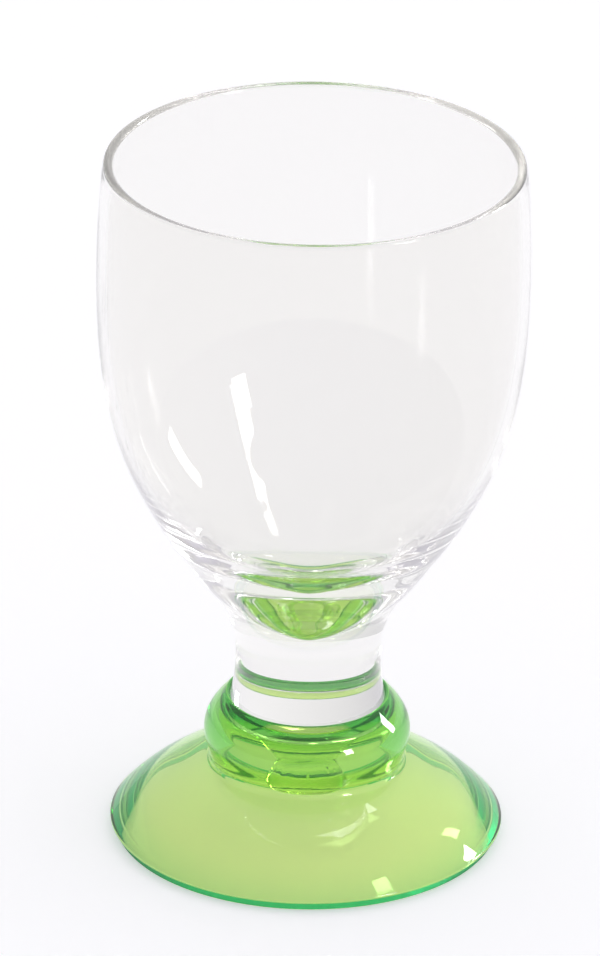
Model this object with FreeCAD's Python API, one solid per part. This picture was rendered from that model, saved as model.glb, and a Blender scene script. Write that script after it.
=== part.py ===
import FreeCAD, Part
import os
from math import cos, radians, sin

# A two-part moulded wine glass: a clear bowl with its stem in one piece, cemented into a green foot.
# All sizes are in millimetres.  +Z is up, and the origin is on the table under the middle of the foot.
# Every part is turned about Z, so each outline is drawn in the XZ plane as radius and height.

# ---- driving dimensions ----
HEIGHT = 130.0              # table to lip
WALL = 1.7                  # thickness of the bowl's side
RIM_RADIUS = 37.3           # outside of the bowl just below the lip
INNER_BOTTOM = 42.6         # height of the lowest point inside the bowl
STEM_END_RADIUS = 13.75     # stem where it enters the collar

COLLAR_TOP = 26.5           # height of the collar's upper edge
COLLAR_BEAD = 0.5           # radius of the rounded edge round the stem
SOCKET_RADIUS = 13.8        # stem end, which stands in the collar
STEM_END = 24.2             # height of the flat under the stem
STEM_END_BEVEL = 0.3        # bevel round the stem's lower edge
GAP = 0.12                  # between the stem's end and its socket

CEMENT_BOTTOM = 24.7        # the ring of cement round the stem's end
CEMENT_TOP = 25.9

BORE_RADIUS = 15.2          # the hollow inside the collar
BORE_TOP = 22.4             # underside of the collar's top plate
PLUG_TOP_RADIUS = 8.7       # tapered clear plug under that plate
PLUG_END_RADIUS = 5.9
PLUG_END = 9.2

FOOT_RADIUS = 35.4
EDGE_THICKNESS = 2.4        # foot's outer edge
EDGE_ROUND = 0.5            # rounding of its upper corner
REST_ROUND = 0.3            # rounding between the bevel under the edge and the rest ring
REST_OUTER = 34.2           # flat ring that the glass rests on
REST_INNER = 33.4


def at(radius, height):
    """A point of an outline, in the XZ plane."""
    return FreeCAD.Vector(radius, 0.0, height)


def spline(*poles):
    """A clamped, even cubic B-spline on the given poles."""
    curve = Part.BSplineCurve()
    curve.buildFromPoles([at(*pole) for pole in poles], False, 3)
    return curve.toShape()


def line(start, end):
    return Part.LineSegment(at(*start), at(*end)).toShape()


def arc(centre, radius, start_angle, end_angle):
    """An arc of a circle from one angle to the other, in degrees from the outward direction."""
    points = [at(*on_circle(centre, radius, angle))
              for angle in (start_angle, (start_angle + end_angle) / 2, end_angle)]
    return Part.Arc(*points).toShape()


def on_circle(centre, radius, angle):
    return (centre[0] + radius * cos(radians(angle)), centre[1] + radius * sin(radians(angle)))


def turned(edges):
    """The closed outline turned once about Z as a solid."""
    face = Part.Face(Part.Wire(edges))
    solid = face.revolve(FreeCAD.Vector(0, 0, 0), FreeCAD.Vector(0, 0, 1), 360)
    if solid.Volume < 0:
        solid.reverse()
    return solid


# ---- bowl and stem: one clear moulding ----
lip_round = WALL / 2
lip_height = HEIGHT - lip_round
bowl_outside = [(RIM_RADIUS, lip_height), (38.0, 126.3), (39.9, 90.6), (31.1, 66.4), (21.4, 53.0), (20.2, 50.9),
                (11.3, 40.1), (STEM_END_RADIUS, COLLAR_TOP + 0.5)]
bowl_inside = [(RIM_RADIUS - WALL, lip_height), (38.0 - WALL, 126.3), (38.2, 91.2), (29.4, 67.0),
               (19.8, 56.2), (10.5, 51.0), (2.0, INNER_BOTTOM), (0.0, INNER_BOTTOM)]
bevel_start = (SOCKET_RADIUS, STEM_END + STEM_END_BEVEL)
bevel_end = (SOCKET_RADIUS - STEM_END_BEVEL, STEM_END)

bowl = turned([
    spline(*reversed(bowl_inside)),
    arc((RIM_RADIUS - lip_round, lip_height), lip_round, 180, 0),
    spline(*bowl_outside),
    line(bowl_outside[-1], bevel_start),
    line(bevel_start, bevel_end),
    line(bevel_end, (0, STEM_END)),
    line((0, STEM_END), (0, INNER_BOTTOM)),
])

# ---- foot: a collar that is hollow inside, and a shallow hollow dome, one green moulding ----
wall_radius = SOCKET_RADIUS + GAP
bead_centre = (wall_radius + COLLAR_BEAD, COLLAR_TOP - COLLAR_BEAD)
bead_angle = 60             # where the bead meets the collar's side
collar_outside = [on_circle(bead_centre, COLLAR_BEAD, bead_angle), (16.2, 24.9), (18.6, 22.2), (18.85, 17.6),
                  (17.0, 14.6), (17.8, 13.5)]
edge_centre = (FOOT_RADIUS - EDGE_ROUND, EDGE_THICKNESS - EDGE_ROUND)
edge_angle = 55             # where the dome meets the rounded corner
rest_centre = (REST_OUTER, REST_ROUND)
bevel_angle = -30           # lean of the bevel under the edge
dome_outside = [collar_outside[-1], (21.4, 12.3), (27.0, 9.6), (32.4, 5.4),
                on_circle(edge_centre, EDGE_ROUND, edge_angle)]
dome_inside = [(REST_INNER, 0.0), (32.5, 1.6), (30.1, 5.1), (26.5, 7.8), (21.0, 10.6), (17.4, 11.6), (15.6, 12.2),
               (BORE_RADIUS + 0.1, 14.2)]
bore_top = [(BORE_RADIUS, 20.2), (BORE_RADIUS - 0.1, 21.4), (14.3, BORE_TOP - 0.1), (13.0, BORE_TOP)]
socket_floor = STEM_END - GAP

foot = turned([
    arc(bead_centre, COLLAR_BEAD, 180, bead_angle),
    spline(*collar_outside),
    spline(*dome_outside),
    arc(edge_centre, EDGE_ROUND, edge_angle, bevel_angle),
    line(on_circle(edge_centre, EDGE_ROUND, bevel_angle), on_circle(rest_centre, REST_ROUND, bevel_angle)),
    arc(rest_centre, REST_ROUND, bevel_angle, -90),
    line((REST_OUTER, 0.0), dome_inside[0]),
    spline(*dome_inside),
    line(dome_inside[-1], bore_top[0]),
    spline(*bore_top),
    line(bore_top[-1], (0.0, BORE_TOP)),
    line((0.0, BORE_TOP), (0.0, socket_floor)),
    line((0.0, socket_floor), (bevel_end[0], socket_floor)),
    line((bevel_end[0], socket_floor), (wall_radius, bevel_start[1] - GAP)),
    line((wall_radius, bevel_start[1] - GAP), (wall_radius, bead_centre[1])),
])

# ---- cement: the thin ring that fills the socket round the stem's end ----
cement_film = turned([
    line((SOCKET_RADIUS, CEMENT_BOTTOM), (wall_radius, CEMENT_BOTTOM)),
    line((wall_radius, CEMENT_BOTTOM), (wall_radius, CEMENT_TOP)),
    line((wall_radius, CEMENT_TOP), (SOCKET_RADIUS, CEMENT_TOP)),
    line((SOCKET_RADIUS, CEMENT_TOP), (SOCKET_RADIUS, CEMENT_BOTTOM)),
])

# ---- cement: the tapered clear plug that hangs from the collar's top plate ----
plug_side = (PLUG_END_RADIUS, PLUG_END + 1.4)
plug_corner = [plug_side, (PLUG_END_RADIUS - 0.2, PLUG_END + 0.4), (PLUG_END_RADIUS - 1.0, PLUG_END), (3.6, PLUG_END)]
cement_plug = turned([
    line((0.0, BORE_TOP), (PLUG_TOP_RADIUS, BORE_TOP)),
    line((PLUG_TOP_RADIUS, BORE_TOP), plug_side),
    spline(*plug_corner),
    line(plug_corner[-1], (0.0, PLUG_END)),
    line((0.0, PLUG_END), (0.0, BORE_TOP)),
])

os.makedirs("parts", exist_ok=True)
for name, shape in {"bowl": bowl, "foot": foot, "cement_film": cement_film, "cement_plug": cement_plug}.items():
    shape.exportStep(f"parts/{name}.step")
    print(name, "valid" if shape.isValid() else "NOT VALID", f"{shape.Volume:.0f} mm3", shape.BoundBox)
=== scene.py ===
# %% [markdown]
# # A moulded wine glass
#
# This is a short-stemmed wine glass for a picnic table. It is made of two mouldings: a clear bowl with a
# thick solid stem, and a see-through green foot with a hollow round collar. A thin ring of cement joins
# them, and a plug of clear cement hangs inside the collar. Clear things have almost no colour of their own.
# What the eye sees is how their thickness bends the light, so most of this lesson is about getting the
# outlines right, inside as well as outside.

from math import cos, pi, radians, sin

import bmesh
import bpy
from mathutils import Matrix, Vector


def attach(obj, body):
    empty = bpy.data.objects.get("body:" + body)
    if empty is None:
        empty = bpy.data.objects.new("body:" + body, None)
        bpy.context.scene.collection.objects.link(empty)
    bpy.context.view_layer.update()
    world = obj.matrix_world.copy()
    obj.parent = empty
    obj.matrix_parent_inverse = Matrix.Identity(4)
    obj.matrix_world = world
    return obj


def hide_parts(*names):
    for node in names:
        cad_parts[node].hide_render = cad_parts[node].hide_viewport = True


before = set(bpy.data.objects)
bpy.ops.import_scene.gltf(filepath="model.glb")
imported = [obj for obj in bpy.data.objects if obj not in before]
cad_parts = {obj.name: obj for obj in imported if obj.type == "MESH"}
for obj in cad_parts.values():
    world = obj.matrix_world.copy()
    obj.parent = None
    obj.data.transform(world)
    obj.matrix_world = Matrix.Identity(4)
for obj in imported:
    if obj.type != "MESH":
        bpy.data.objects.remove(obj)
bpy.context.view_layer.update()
MM = 0.001
scene = bpy.context.scene
print("pieces in the frame:", sorted(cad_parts))

# %% [markdown]
# ## Drawing an outline
#
# Every piece of this glass was turned or moulded round one axis, so each one is a single outline, drawn as
# radius and height and spun once round. An outline could be typed in as a long row of points, but a few
# control points of a smooth curve are easier to read and to change, and the surface has no kinks that would
# break up a refraction. The outline is a curve object made of NURBS stretches and straight stretches,
# turned into a mesh. Small corner roundings are a single vertex spun about the corner's centre. All the
# numbers of an outline are in millimetres.

# %% Helpers for an outline
SAME_POINT = 0.003 * MM     # ends of stretches that are nearer than this are one point
CORNER_STEPS = 12


def on_corner(corner, angle):
    """The point at an angle on a corner's rounding. A corner is (centre, radius, first angle, last angle)."""
    (radius, height), size = corner[:2]
    return radius + size * cos(radians(angle)), height + size * sin(radians(angle))


def stretch(curve, kind, points):
    """Adds one stretch of an outline to a curve, smooth (NURBS) or straight (POLY)."""
    piece = curve.splines.new(kind)
    piece.points.add(len(points) - 1)
    for place, (radius, height) in zip(piece.points, points):
        place.co = (radius * MM, 0, height * MM, 1)
    if kind == "NURBS":
        piece.order_u = 4
        piece.use_endpoint_u = True
        piece.resolution_u = 14


def outline(smooth, straight, corners=()):
    """A bmesh of one outline in the XZ plane, from smooth stretches, straight stretches and rounded corners."""
    curve = bpy.data.curves.new("outline", "CURVE")
    curve.dimensions = "3D"
    for points in smooth:
        stretch(curve, "NURBS", points)
    for points in straight:
        stretch(curve, "POLY", points)
    holder = bpy.data.objects.new("outline", curve)
    drawn = bmesh.new()
    drawn.from_mesh(bpy.data.meshes.new_from_object(holder))
    bpy.data.objects.remove(holder)
    for corner in corners:
        (radius, height), _, first, last = corner
        across, up = on_corner(corner, first)
        start = drawn.verts.new((across * MM, 0, up * MM))
        bmesh.ops.spin(drawn, geom=[start], cent=(radius * MM, 0, height * MM), axis=(0, -1, 0),
                       angle=radians(last - first), steps=CORNER_STEPS)
    bmesh.ops.remove_doubles(drawn, verts=drawn.verts, dist=SAME_POINT)
    return drawn


# %% Helper that spins an outline into a piece
TURN_STEPS = 256
SHARP_ANGLE = 40            # degrees; a steeper edge than this stays crisp


def turned(name, drawn, steps=TURN_STEPS):
    """Spins an outline once round the glass's axis, closes its poles and shades it smooth except at sharp edges."""
    bmesh.ops.spin(drawn, geom=drawn.verts[:] + drawn.edges[:], cent=(0, 0, 0), axis=(0, 0, 1), angle=2 * pi,
                   steps=steps, use_merge=True)
    bmesh.ops.remove_doubles(drawn, verts=drawn.verts, dist=0.0005 * MM)
    bmesh.ops.recalc_face_normals(drawn, faces=drawn.faces)
    for face in drawn.faces:
        face.smooth = True
    open_edges = sum(not edge.is_manifold for edge in drawn.edges)
    volume = drawn.calc_volume(signed=True) / MM ** 3
    mesh = bpy.data.meshes.new(name)
    drawn.to_mesh(mesh)
    drawn.free()
    mesh.set_sharp_from_angle(angle=radians(SHARP_ANGLE))
    piece = bpy.data.objects.new(name, mesh)
    scene.collection.objects.link(piece)
    print(f"{name}: {len(mesh.polygons)} faces, {volume:.0f} mm3, {open_edges} open edges")
    return piece


print("outlines are turned in", TURN_STEPS, "steps")

# %% [markdown]
# ## The bowl and its stem
#
# The bowl and the stem are one clear moulding. The side is 1.7 mm thick up to a rounded lip, and the bottom
# is solid down through the stem to a flat end. Its inside is deeper than it looks: the floor is a rounded
# cone that reaches down towards the neck, and the neck works as a lens, which is why bands of the green
# foot seem to float under the wine. A bowl could be a thin shell with a Solidify modifier, but the thick
# bottom and that cone need an inside outline of their own.

# %% Outline of the bowl
STEM_END = 24.2
STEM_RADIUS = 13.8
BEVEL = 0.3                 # of the stem's end
INSIDE_BOTTOM = 42.6
lip = ((36.45, 129.15), 0.85, 0, 180)
stem_above_socket = (13.75, 27.0)
bowl_outside = [on_corner(lip, 0), (38.0, 126.3), (39.9, 90.6), (31.1, 66.4), (21.4, 53.0), (20.2, 50.9),
                (11.3, 40.1), stem_above_socket]
bowl_inside = [on_corner(lip, 180), (36.3, 126.3), (38.2, 91.2), (29.4, 67.0), (19.8, 56.2), (10.5, 51.0),
               (2.0, INSIDE_BOTTOM), (0.0, INSIDE_BOTTOM)]
stem_end = [stem_above_socket, (STEM_RADIUS, STEM_END + BEVEL), (STEM_RADIUS - BEVEL, STEM_END), (0.0, STEM_END)]
bowl = turned("clear_bowl", outline([bowl_outside, bowl_inside], [stem_end], [lip]))

# %% [markdown]
# ## The foot
#
# The foot is the green moulding: a fat collar round the end of the stem, and a shallow dome that is hollow
# underneath and stands on its rim. The stem stands in a shallow socket in the collar's top plate. Under
# that plate the collar is hollow too, because a solid lump that thick would cool unevenly in the mould and
# sink. The edge between the hollow and the plate shows as a dark emerald band under the stem, so the inside
# outline matters as much as the outside one. The edge of the foot is bevelled underneath and stands on a
# narrow flat ring.

# %% Outline of the foot
GAP = 0.12                  # between the stem's end and its socket
SOCKET = STEM_RADIUS + GAP
PLATE_BOTTOM = 22.4
COLLAR_TOP = 26.0
REST_INNER, REST_OUTER = 33.4, 34.2
collar_lip = ((SOCKET + 0.5, COLLAR_TOP), 0.5, 180, 60)
foot_edge = ((34.9, 1.9), 0.5, -30, 55)
rest_edge = ((REST_OUTER, 0.3), 0.3, -90, -30)
waist = (17.8, 13.5)        # where the collar meets the dome
hollow_side = [(15.3, 14.2), (15.2, 20.2)]
under_plate = [(13.0, PLATE_BOTTOM), (0.0, PLATE_BOTTOM)]
socket = [(0.0, STEM_END - GAP), (STEM_RADIUS - BEVEL, STEM_END - GAP), (SOCKET, STEM_END + BEVEL - GAP),
          (SOCKET, COLLAR_TOP)]
bevel = [on_corner(foot_edge, -30), on_corner(rest_edge, -30)]
rest = [(REST_OUTER, 0.0), (REST_INNER, 0.0)]
collar_outside = [on_corner(collar_lip, 60), (16.2, 24.9), (18.6, 22.2), (18.85, 17.6), (17.0, 14.6), waist]
dome_outside = [waist, (21.4, 12.3), (27.0, 9.6), (32.4, 5.4), on_corner(foot_edge, 55)]
dome_inside = [(REST_INNER, 0.0), (32.5, 1.6), (30.1, 5.1), (26.5, 7.8), (21.0, 10.6), (17.4, 11.6), (15.6, 12.2),
               hollow_side[0]]
hollow_top = [hollow_side[1], (15.1, 21.4), (14.3, 22.3), under_plate[0]]
foot = turned("green_foot", outline([collar_outside, dome_outside, dome_inside, hollow_top],
                                    [hollow_side, under_plate, socket, bevel, rest],
                                    [collar_lip, foot_edge, rest_edge]))

# %% [markdown]
# ## The ring of cement
#
# Two mouldings are joined with a thin bead of clear cement, squeezed into the gap round the stem's end. It
# is drawn a hair thinner than the gap that it fills, because two faces in exactly the same place would
# fight for the same ray of light and come out as dark specks.

# %% The cement
SLACK = 0.02
RING_BOTTOM, RING_TOP = 24.7, 25.9
ring_inner, ring_outer = STEM_RADIUS + SLACK, SOCKET - SLACK
ring = [(ring_inner, RING_BOTTOM), (ring_outer, RING_BOTTOM), (ring_outer, RING_TOP), (ring_inner, RING_TOP),
        (ring_inner, RING_BOTTOM)]
cement = turned("cement_ring", outline([], [ring]))

# %% [markdown]
# ## The plug in the collar
#
# The collar is hollow, so its wall is about as thin as the foot's. Through it shows a plug of clear cement,
# which hangs from the top plate. It tapers downwards, so it shows as a faint cup. How far it hangs down and
# how much it tapers are estimates. It is a closed piece of its own and not a dent in the plate, because
# clear cement bends light without taking the green away.

# %% The plug
PLUG_BOTTOM = 9.2
plug_top = PLATE_BOTTOM - SLACK
plug_corner = [(5.9, 10.6), (5.7, 9.6), (4.9, PLUG_BOTTOM), (3.6, PLUG_BOTTOM)]
plug_side = [(0.0, plug_top), (8.7, plug_top), plug_corner[0]]
plug = turned("hanging_plug", outline([plug_corner], [plug_side, [plug_corner[-1], (0.0, PLUG_BOTTOM)]]))

# %% [markdown]
# ## Tying the pieces to the frame
#
# Nothing moves on this glass, so all four pieces ride on its one body. Each takes the place of the designed
# piece of the same kind.

# %% Tie the pieces to the frame
for piece, designed, finish in ((bowl, "bowl", "clear_plastic"), (foot, "foot", "green_plastic"),
                                (cement, "cement_film", "clear_cement"), (plug, "cement_plug", "clear_cement")):
    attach(piece, "root")
    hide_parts(designed)
print("tied:", [piece.name for piece in (bowl, foot, cement, plug)])

# %% [markdown]
# ## Wear that every moulding shares
#
# A glass that has been handled has a moulded surface that is never quite flat, and hairline scratches from
# washing and stacking. Both could be painted on each piece, but a node group made once keeps them alike. It
# gives a height for a Bump node and a roughness. The waves are a slow noise that is stretched up the wall,
# because hot plastic flows that way. The scratches are thin lines cut from a very stretched noise at three
# slants, and they are kept only in patches, as they are on a used glass.

# %% Helper for a node group
def group(name, inputs, outputs):
    """A shader node group with number inputs {name: default} and number outputs."""
    made = bpy.data.node_groups.new(name, "ShaderNodeTree")
    for label, value in inputs.items():
        socket_in = made.interface.new_socket(label, in_out="INPUT", socket_type="NodeSocketFloat")
        socket_in.default_value = value
    for label in outputs:
        made.interface.new_socket(label, in_out="OUTPUT", socket_type="NodeSocketFloat")
    return made, made.nodes.new("NodeGroupInput"), made.nodes.new("NodeGroupOutput")


# %% Helpers for single nodes
def node(tree, kind, settings=(), **sockets):
    """Adds a node. A socket is named, or given by its place as _0 or _1, and its value may be a link."""
    made = tree.nodes.new(kind)
    for option, value in dict(settings).items():
        setattr(made, option, value)
    for label, value in sockets.items():
        numbered = label[0] == "_" and label[1:].isdigit()
        socket_in = made.inputs[int(label[1:]) if numbered else label.replace("_", " ")]
        if isinstance(value, bpy.types.NodeSocket):
            tree.links.new(value, socket_in)
        else:
            socket_in.default_value = value
    return made


def maths(tree, operation, *values):
    """One sum or product of numbers and links."""
    numbered = {f"_{place}": value for place, value in enumerate(values)}
    return node(tree, "ShaderNodeMath", {"operation": operation}, **numbered).outputs[0]


def fade(tree, value, start, end, low=0, high=1):
    """Goes from low to high while the value goes from start to end, and stays there outside."""
    return node(tree, "ShaderNodeMapRange", Value=value, From_Min=start, From_Max=end, To_Min=low,
                To_Max=high).outputs[0]


def mixed(tree, mask, first, second):
    """Goes from the first colour to the second with the mask. The node keeps its colours in sockets 6 and 7."""
    return node(tree, "ShaderNodeMix", {"data_type": "RGBA"}, _0=mask, _6=first, _7=second).outputs[2]


# %% The handling wear group
wear, wear_in, wear_out = group("handling wear", {"Waviness": 1.0, "Scratches": 1.0, "Polish": 0.0},
                                ["Height", "Roughness"])
SCRATCH_DEPTH = -0.06       # against a wave height of 1
SCRATCH_ROUGHNESS = 0.16
where = node(wear, "ShaderNodeTexCoord").outputs["Object"]
up_wall = node(wear, "ShaderNodeMapping", Vector=where, Scale=(1, 1, 0.45))
waves = node(wear, "ShaderNodeTexNoise", Vector=up_wall.outputs[0], Scale=55, Detail=1.5, Roughness=0.4)
wave_height = maths(wear, "MULTIPLY", waves.outputs[0], wear_in.outputs["Waviness"])

# %% Its scratches
marks = 0.0
for slant, shift in ((0.35, 0.0), (-0.5, 7.0), (1.35, 13.0)):
    turned_way = node(wear, "ShaderNodeMapping", Vector=where, Location=(shift, shift, shift),
                      Rotation=(slant, slant, 0), Scale=(900, 900, 26))
    streak = node(wear, "ShaderNodeTexNoise", Vector=turned_way.outputs[0], Scale=1, Detail=0)
    marks = maths(wear, "MAXIMUM", marks, fade(wear, streak.outputs[0], 0.76, 0.82))
patches = node(wear, "ShaderNodeTexNoise", Vector=where, Scale=40, Detail=2)
kept_marks = maths(wear, "MULTIPLY", marks, fade(wear, patches.outputs[0], 0.45, 0.65))
scratches = maths(wear, "MULTIPLY", kept_marks, wear_in.outputs["Scratches"])
height = maths(wear, "MULTIPLY_ADD", scratches, SCRATCH_DEPTH, wave_height)
rough = maths(wear, "MULTIPLY_ADD", scratches, SCRATCH_ROUGHNESS, wear_in.outputs["Polish"])
wear.links.new(height, wear_out.inputs["Height"])
wear.links.new(rough, wear_out.inputs["Roughness"])
print("handling wear:", len(wear.nodes), "nodes")

# %% [markdown]
# ## See-through plastic
#
# A tinted clear plastic has two ways to take its colour. Some is taken where light passes the surface, and
# the rest along the way through, so a thick collar looks deeper than a thin dome. The first is the shader's
# own Base Color with full Transmission Weight, and the second is a Volume Absorption node, whose colour and
# density stay plain numbers. A surface tint alone would give thick and thin places the same depth.
# Absorption alone would make the thick places too dark once the thin dome was green enough.

# %% Helper for a clear or tinted plastic
IOR = 1.53


def plastic(name, surface, absorbed, wear_values, wave_distance):
    """A see-through plastic: surface is its tint at each face, absorbed its loss per metre in each colour."""
    material = bpy.data.materials.new(name)
    material.use_nodes = True
    tree = material.node_tree
    shader = tree.nodes["Principled BSDF"]
    shader.inputs["Base Color"].default_value = (*surface, 1)
    shader.inputs["Transmission Weight"].default_value = 1
    shader.inputs["IOR"].default_value = IOR
    worn = node(tree, "ShaderNodeGroup", {"node_tree": wear}, **wear_values)
    bump = node(tree, "ShaderNodeBump", Strength=1.0, Distance=wave_distance, Height=worn.outputs["Height"])
    tree.links.new(worn.outputs["Roughness"], shader.inputs["Roughness"])
    tree.links.new(bump.outputs[0], shader.inputs["Normal"])
    densest = max(absorbed)
    depth = node(tree, "ShaderNodeVolumeAbsorption", Color=(*(1 - loss / densest for loss in absorbed), 1),
                 Density=densest)
    tree.links.new(depth.outputs[0], tree.nodes["Material Output"].inputs["Volume"])
    print(name, "takes", absorbed, "per metre")
    return material, tree, shader, worn, bump


# %% The clear plastic, on the bowl and stem
WAVE_HEIGHT = 0.03 * MM
clear_plastic, *_ = plastic("clear plastic", surface=(0.940, 0.935, 0.918), absorbed=(0.4, 0.45, 0.6),
                            wear_values={"Waviness": 1.0, "Scratches": 1.0}, wave_distance=WAVE_HEIGHT)
bowl.data.materials.append(clear_plastic)

# %% The green plastic, on the foot
dome_green = (1.0, 0.98, 0.45)
green_plastic, green_tree, green_shader, green_wear, _ = plastic(
    "green plastic", surface=dome_green, absorbed=(142, 36, 88), wear_values={"Waviness": 0.5, "Scratches": 1.0},
    wave_distance=WAVE_HEIGHT)
foot.data.materials.append(green_plastic)

# %% [markdown]
# The foot's outer edge and its collar look deeper than its dome, because light that enters a thick place or
# a cut edge runs a long way inside the sheet. Absorption alone doesn't make them deep enough here, so both
# places get painted shade: a darker green mixed into their surface tint, in place of that lost light. The
# painted shade is faded in by radius and height, which are read from the piece's Object coordinates. On the
# edge it lies only on the bevel underneath, all the way round, where light coming up from the table enters
# the edge. The bevel is matt as well, as moulded edges often are. A polished bevel would keep light going
# round inside the sheet and leave dark patches, where a matt one lets it out.

# %% Painted shade on the foot's edge and collar, and a matt bevel
# Painted shade: a darker copy of the dome's green for the collar, standing in for light lost in its thickness.
painted_collar_shade = (0.74, 0.88, 0.25)
# Painted shade: a dark emerald for the bevel, standing in for light lost along the edge inside the sheet.
painted_edge_shade = (0.005, 0.62, 0.28)
BEVEL_ROUGHNESS = 0.7
where_foot = node(green_tree, "ShaderNodeTexCoord").outputs["Object"]
flat = node(green_tree, "ShaderNodeVectorMath", {"operation": "MULTIPLY"}, _0=where_foot, _1=(1, 1, 0))
radius = node(green_tree, "ShaderNodeVectorMath", {"operation": "LENGTH"}, _0=flat.outputs[0]).outputs["Value"]
level_of = node(green_tree, "ShaderNodeSeparateXYZ", Vector=where_foot).outputs["Z"]
outermost = fade(green_tree, radius, 34.2 * MM, 34.5 * MM)
lowest = fade(green_tree, level_of, 1.9 * MM, 1.6 * MM)
edge_mask = maths(green_tree, "MULTIPLY", outermost, lowest)
collar_mask = fade(green_tree, level_of, 13 * MM, 16 * MM)
# The dome's tint fades into the collar's painted shade going up.
tint_with_painted_collar_shade = mixed(green_tree, collar_mask, (*dome_green, 1), (*painted_collar_shade, 1))
# The bevel's painted shade is mixed over the rest; its mask also makes the bevel matt.
tint_with_painted_shade = mixed(green_tree, edge_mask, tint_with_painted_collar_shade, (*painted_edge_shade, 1))
green_tree.links.new(tint_with_painted_shade, green_shader.inputs["Base Color"])
matt = maths(green_tree, "MULTIPLY_ADD", edge_mask, BEVEL_ROUGHNESS, green_wear.outputs["Roughness"])
green_tree.links.new(matt, green_shader.inputs["Roughness"])
print("deeper tints: edge and collar, matt bevel")

# %% [markdown]
# ## The cement
#
# Clear cement can cure with swirls and tiny bubbles in it, which make it sparkle where the plastic round it
# is smooth. Real bubbles would need thousands of small spheres. Seen through a collar only the bending of
# light shows, so a folded noise for the swirls and small cells for the bubbles give much the same look with
# a Bump node.

# %% Swirls and bubbles
BUBBLE_HEIGHT = 0.15        # against a swirl height of 1
clear_cement, cement_tree, _, cement_wear, cement_bump = plastic(
    "clear cement", surface=(0.97, 0.98, 0.95), absorbed=(2, 1, 3),
    wear_values={"Waviness": 1.0, "Scratches": 0.0, "Polish": 0.02}, wave_distance=0.22 * MM)
where_cement = node(cement_tree, "ShaderNodeTexCoord").outputs["Object"]
swirl = node(cement_tree, "ShaderNodeTexNoise", Vector=where_cement, Scale=120, Detail=1, Distortion=1.6)
cells = node(cement_tree, "ShaderNodeTexVoronoi", Vector=where_cement, Scale=700, Randomness=1)
bubble = fade(cement_tree, cells.outputs["Distance"], 0.20, 0.08)
sparkle = maths(cement_tree, "MULTIPLY_ADD", bubble, BUBBLE_HEIGHT, swirl.outputs[0])
both = maths(cement_tree, "ADD", sparkle, cement_wear.outputs["Height"])
cement_tree.links.new(both, cement_bump.inputs["Height"])
for piece in (cement, plug):
    piece.data.materials.append(clear_cement)
print("cement: swirls and bubbles on", [cement.name, plug.name])

# %% [markdown]
# ## Floor and light
#
# Clear plastic shows its surroundings, so the room matters as much as the material. The floor is a plain
# pale sheet that is bright enough for almost no shadow to show. The sky is brighter at the back than at the
# front, because a dim front is what draws dark lines along the edges of clear things. Three soft boxes
# stand where their mirror images give the streaks on the bowl, the pale window on the foot and the white
# spots on the collar. The floor and the camera don't see them, so they leave no marks of their own.

# %% The floor
FLOOR_DROP = 0.05 * MM      # keeps the floor's face and the foot's resting face apart
sheet = bmesh.new()
bmesh.ops.create_grid(sheet, x_segments=1, y_segments=1, size=6)
floor_mesh = bpy.data.meshes.new("floor")
sheet.to_mesh(floor_mesh)
sheet.free()
floor = bpy.data.objects.new("floor", floor_mesh)
floor.location.z = -FLOOR_DROP
scene.collection.objects.link(floor)
pale = bpy.data.materials.new("pale floor")
pale.use_nodes = True
paint = pale.node_tree.nodes["Principled BSDF"]
paint.inputs["Base Color"].default_value = (0.76, 0.76, 0.755, 1)
paint.inputs["Roughness"].default_value = 0.9
paint.inputs["Emission Color"].default_value = (1, 1, 1, 1)
paint.inputs["Emission Strength"].default_value = 0.42
floor_mesh.materials.append(pale)
print("floor:", floor.name, "with", pale.name)

# %% The sky
world = bpy.data.worlds.new("studio")
scene.world = world
world.use_nodes = True
sky = world.node_tree
background = sky.nodes["Background"]
direction = node(sky, "ShaderNodeTexCoord").outputs["Generated"]
parts = node(sky, "ShaderNodeSeparateXYZ", Vector=direction).outputs
front_sky, back_sky = (0.62, 0.60, 0.70, 1), (0.97, 0.97, 0.97, 1)
shade = mixed(sky, fade(sky, parts["Y"], -1, 1), front_sky, back_sky)
sky.links.new(shade, background.inputs["Color"])
sky.links.new(fade(sky, parts["X"], -1, 1, 0.74, 1.16), background.inputs["Strength"])
print("sky dimmer at the front and left")


# %% The soft boxes
AIM_HEIGHT = 40 * MM
BOX_DISTANCE = 1.2


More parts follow.
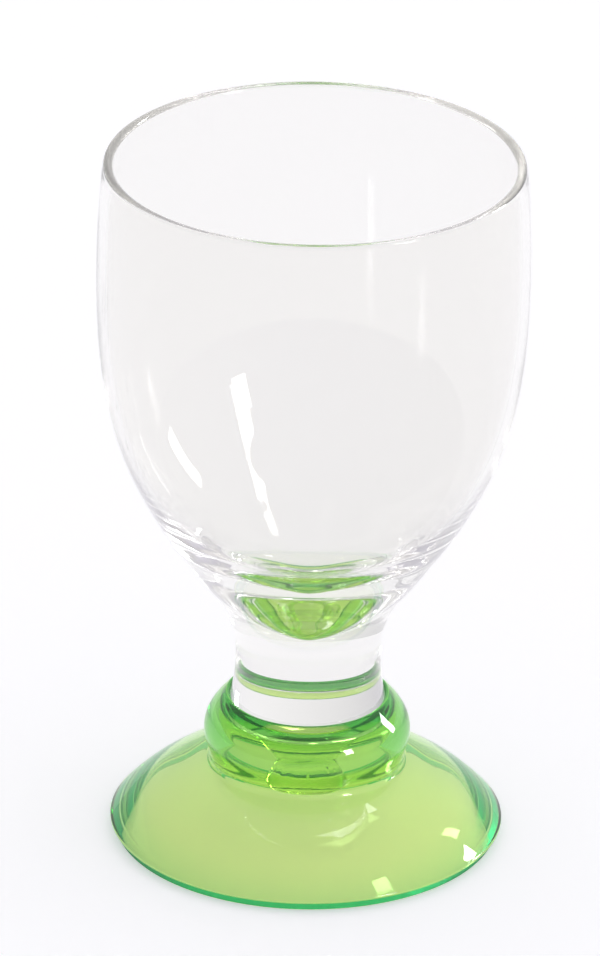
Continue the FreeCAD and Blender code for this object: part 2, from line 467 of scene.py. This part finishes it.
def soft_box(name, towards, width, depth, brightness, distance=BOX_DISTANCE):
    """A rectangular area light that faces the glass; the brightness is that of its mirror image."""
    light = bpy.data.lights.new(name, "AREA")
    light.shape = "RECTANGLE"
    light.size, light.size_y = width, depth
    light.energy = brightness * pi * width * depth
    holder = bpy.data.objects.new(name, light)
    scene.collection.objects.link(holder)
    holder.location = Vector(towards).normalized() * distance + Vector((0, 0, AIM_HEIGHT))
    holder.rotation_euler = Vector(towards).to_track_quat("Z", "Y").to_euler()
    holder.visible_diffuse = False
    holder.visible_camera = False
    print(f"{name}: {width} x {depth} m at {distance} m")


soft_box("overhead box", (0.20, 0.325, 0.924), width=0.22, depth=0.46, brightness=5)
soft_box("front box", (0.70, -0.61, 0.36), width=0.20, depth=0.26, brightness=22)
soft_box("side box", (0.87, 0.40, 0.28), width=0.16, depth=0.40, brightness=22)

# %% [markdown]
# ## The camera
#
# A glass is best seen from a little above, where its rim is an open oval. A long lens from far off keeps
# that oval and the foot's oval nearly alike.

# %% The camera
CAMERA_PLACE = (0, -1.624, 0.8243)
camera_data = bpy.data.cameras.new("camera")
camera_data.lens = 378.5    # millimetres
camera_data.clip_end = 100
camera = bpy.data.objects.new("camera", camera_data)
scene.collection.objects.link(camera)
scene.camera = camera
yaw, pitch, roll = radians(-0.067), radians(24.95), radians(0.80)
ahead = Vector((sin(yaw) * cos(pitch), cos(yaw) * cos(pitch), -sin(pitch)))
level = Vector((cos(yaw), -sin(yaw), 0))
above = level.cross(ahead)
across = level * cos(roll) + above * sin(roll)
upward = above * cos(roll) - level * sin(roll)
facing = Matrix((across, upward, -ahead)).transposed().to_4x4()
facing.translation = CAMERA_PLACE
camera.matrix_world = facing
print("camera 25 degrees above the table")

# %% [markdown]
# ## How light is followed
#
# Light that is caught inside the lip or the foot's edge is mirrored from face to face many times before it
# gets out. If it is dropped too early, those places turn black. So all the bounce limits are high, and the
# mirror bounces matter as much as the see-through ones.

# %% How light is followed
BOUNCES = 128
scene.view_settings.view_transform = "Standard"
for limit in ("max_bounces", "transmission_bounces", "glossy_bounces"):
    setattr(scene.cycles, limit, BOUNCES)
scene.cycles.use_denoising = True
print("light is followed for", BOUNCES, "bounces")
